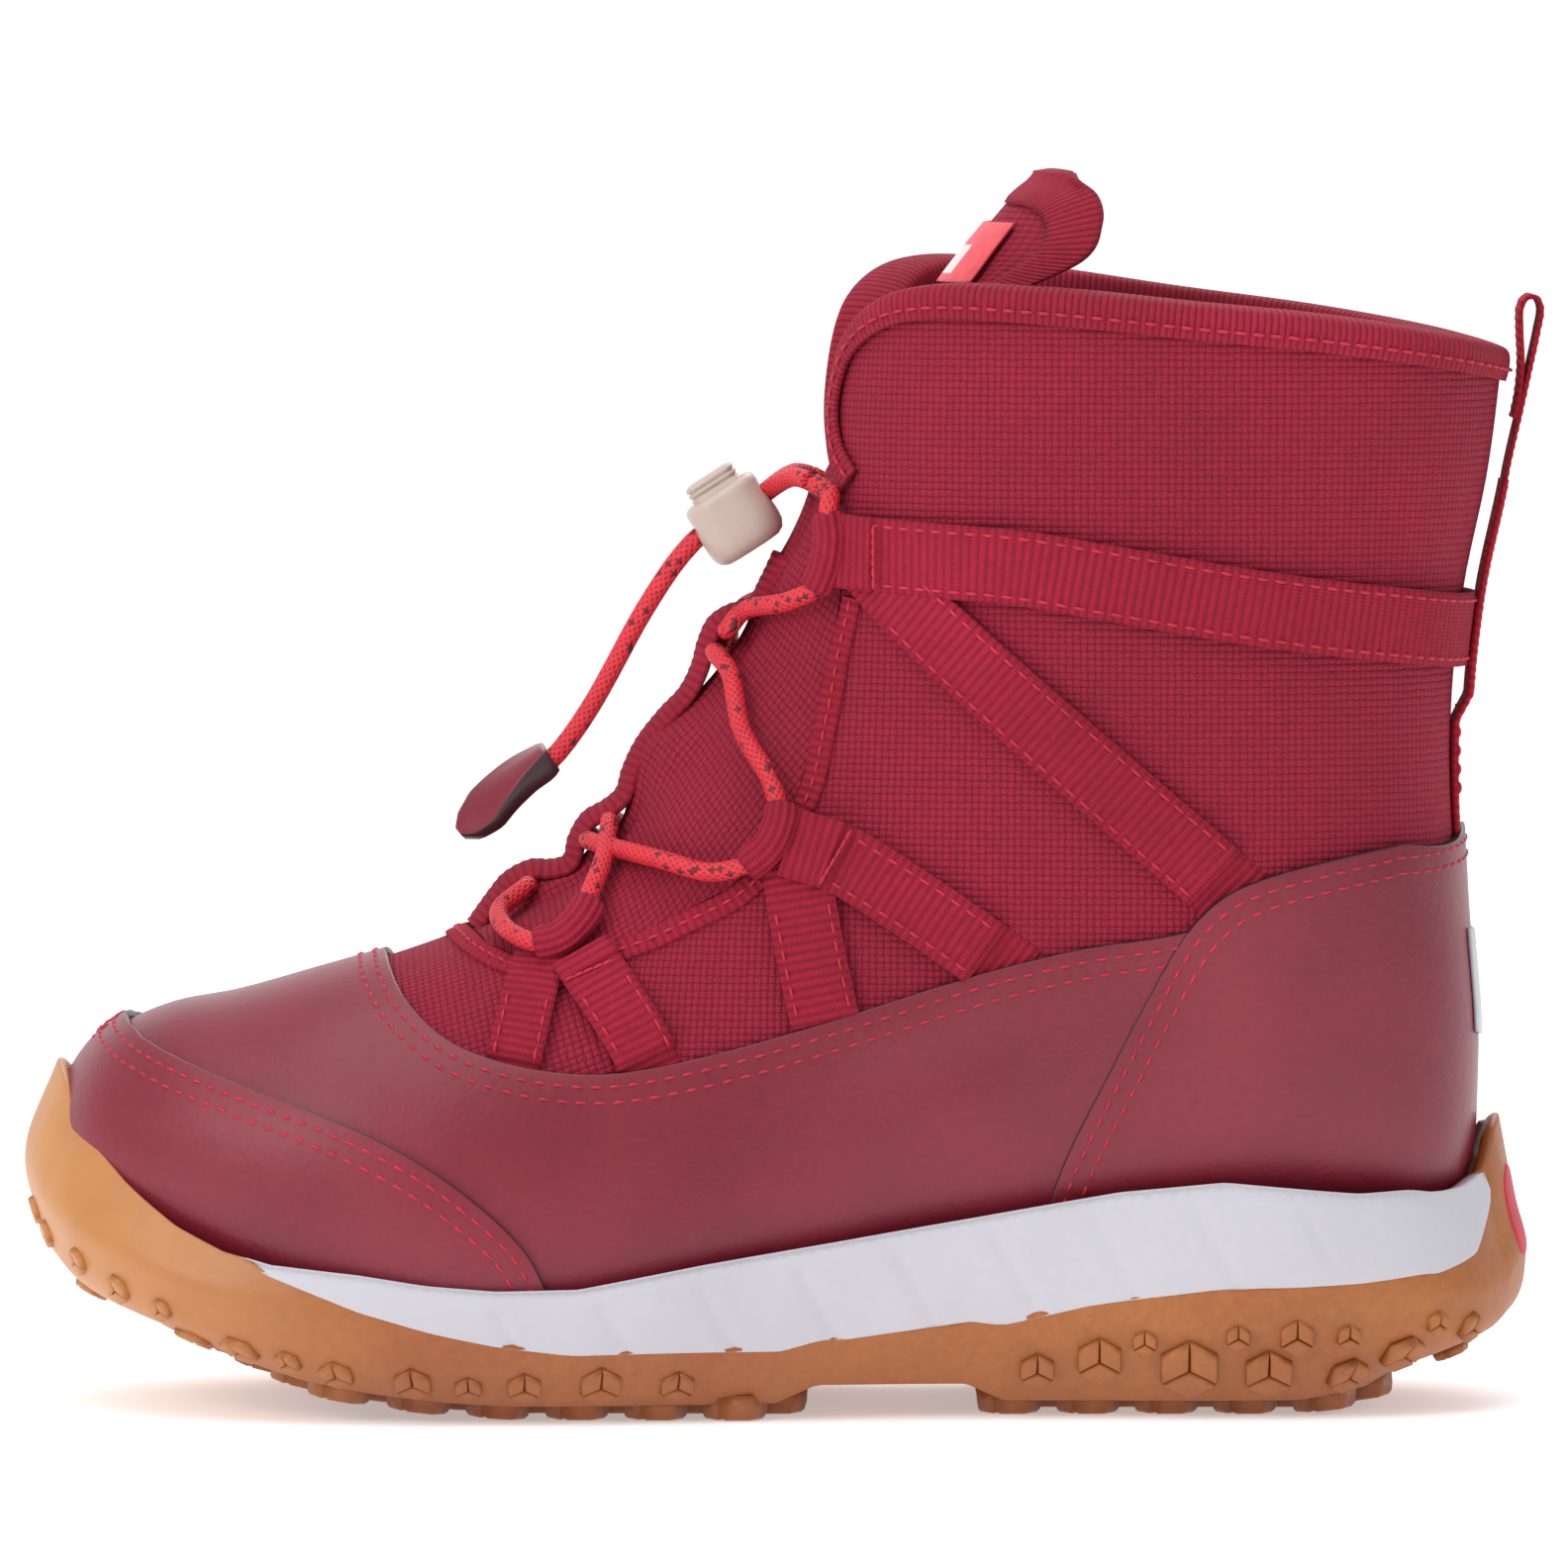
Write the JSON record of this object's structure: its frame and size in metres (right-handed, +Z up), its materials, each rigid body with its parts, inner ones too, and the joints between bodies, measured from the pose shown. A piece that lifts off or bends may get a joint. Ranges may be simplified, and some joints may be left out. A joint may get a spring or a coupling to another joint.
{
  "type": "winter boot",
  "caption": "Child-size lace-up winter boot with coated lower panels, woven upper, elastic lace with cord lock, tongue, pull loop and lugged rubber sole.",
  "frame": {"origin": "on the ground under the middle of the boot", "axes": "+X along the boot toward the heel, toe toward -X, +Z up; the outer side of this left boot faces -Y"},
  "size_m": [0.2226, 0.0848, 0.1792],
  "materials": {
    "rubber": "gum rubber",
    "foam": "moulded foam",
    "badge": "matte",
    "fibre": "stiff fibre board",
    "padding": "open foam",
    "fleece": "brushed fleece",
    "woven": "coarse plain weave",
    "coated": "polyurethane-coated",
    "reflective": "reflective film",
    "webbing": "ribbed webbing",
    "label": "woven label",
    "red_webbing": "ribbed webbing",
    "cord": "braided elastic",
    "ivory": "satin moulding",
    "steel": "spring wire"
  },
  "bodies": {
    "boot": {"outsole": "rubber", "midsole": "foam", "heel_badge": "badge", "lasting_board": "fibre", "insole": "padding", "lining": "fleece", "toe_puff": "fibre", "heel_counter": "fibre", "collar_foam": "padding", "vamp_textile": "woven", "quarter_lateral": "woven", "quarter_medial": "woven", "mudguard": "coated", "toe_guard": "coated", "heel_overlay": "coated", "heel_reflector": "reflective", "throat_tape": "webbing", "collar_binding": "webbing", "ankle_strap": "webbing", "diagonal_strap_lateral": "webbing", "middle_loop_lateral": "webbing", "low_loop_lateral": "webbing", "diagonal_strap_medial": "webbing", "middle_loop_medial": "webbing", "low_loop_medial": "webbing", "tongue_lower": "woven", "tongue_webbing": "webbing", "heel_pull_strap": "red_webbing", "lace": "cord"},
    "tongue": {"tongue_top": "woven", "tongue_binding": "webbing", "tongue_label": "label"},
    "pull_loop": {"heel_pull_loop": "red_webbing"},
    "lace_tail": {"lace_end_lateral": "cord", "lace_end_medial": "cord", "cord_lock_body": "ivory", "cord_lock_spring": "steel", "lace_end_tab": "coated"},
    "lock_button": {"cord_lock_button": "ivory"}
  },
  "joints": [
    {"name": "tongue_fold", "type": "hinge", "parent": "boot", "child": "tongue", "pos_m": [0.0072, 0.00058, 0.1312], "axis": [0, 1, 0], "range_deg": [-12, 6], "stiffness_Nm_per_rad": 0.2},
    {"name": "pull_loop_fold", "type": "hinge", "parent": "boot", "child": "pull_loop", "pos_m": [0.1057, 0.00058, 0.134], "axis": [0, 1, 0], "range_deg": [0, 60], "stiffness_Nm_per_rad": 0.05},
    {"name": "lace_tail_swing", "type": "hinge", "parent": "boot", "child": "lace_tail", "pos_m": [0.0039, 0.00058, 0.1351], "axis": [0, 1, 0], "range_deg": [-3, 50], "stiffness_Nm_per_rad": 0.05},
    {"name": "button_press", "type": "slide", "parent": "lace_tail", "child": "lock_button", "axis": [0.5408, 0, -0.8412], "range_m": [0, 0.0012], "stiffness_N_per_m": 200, "springref_m": -0.001}
  ]
}
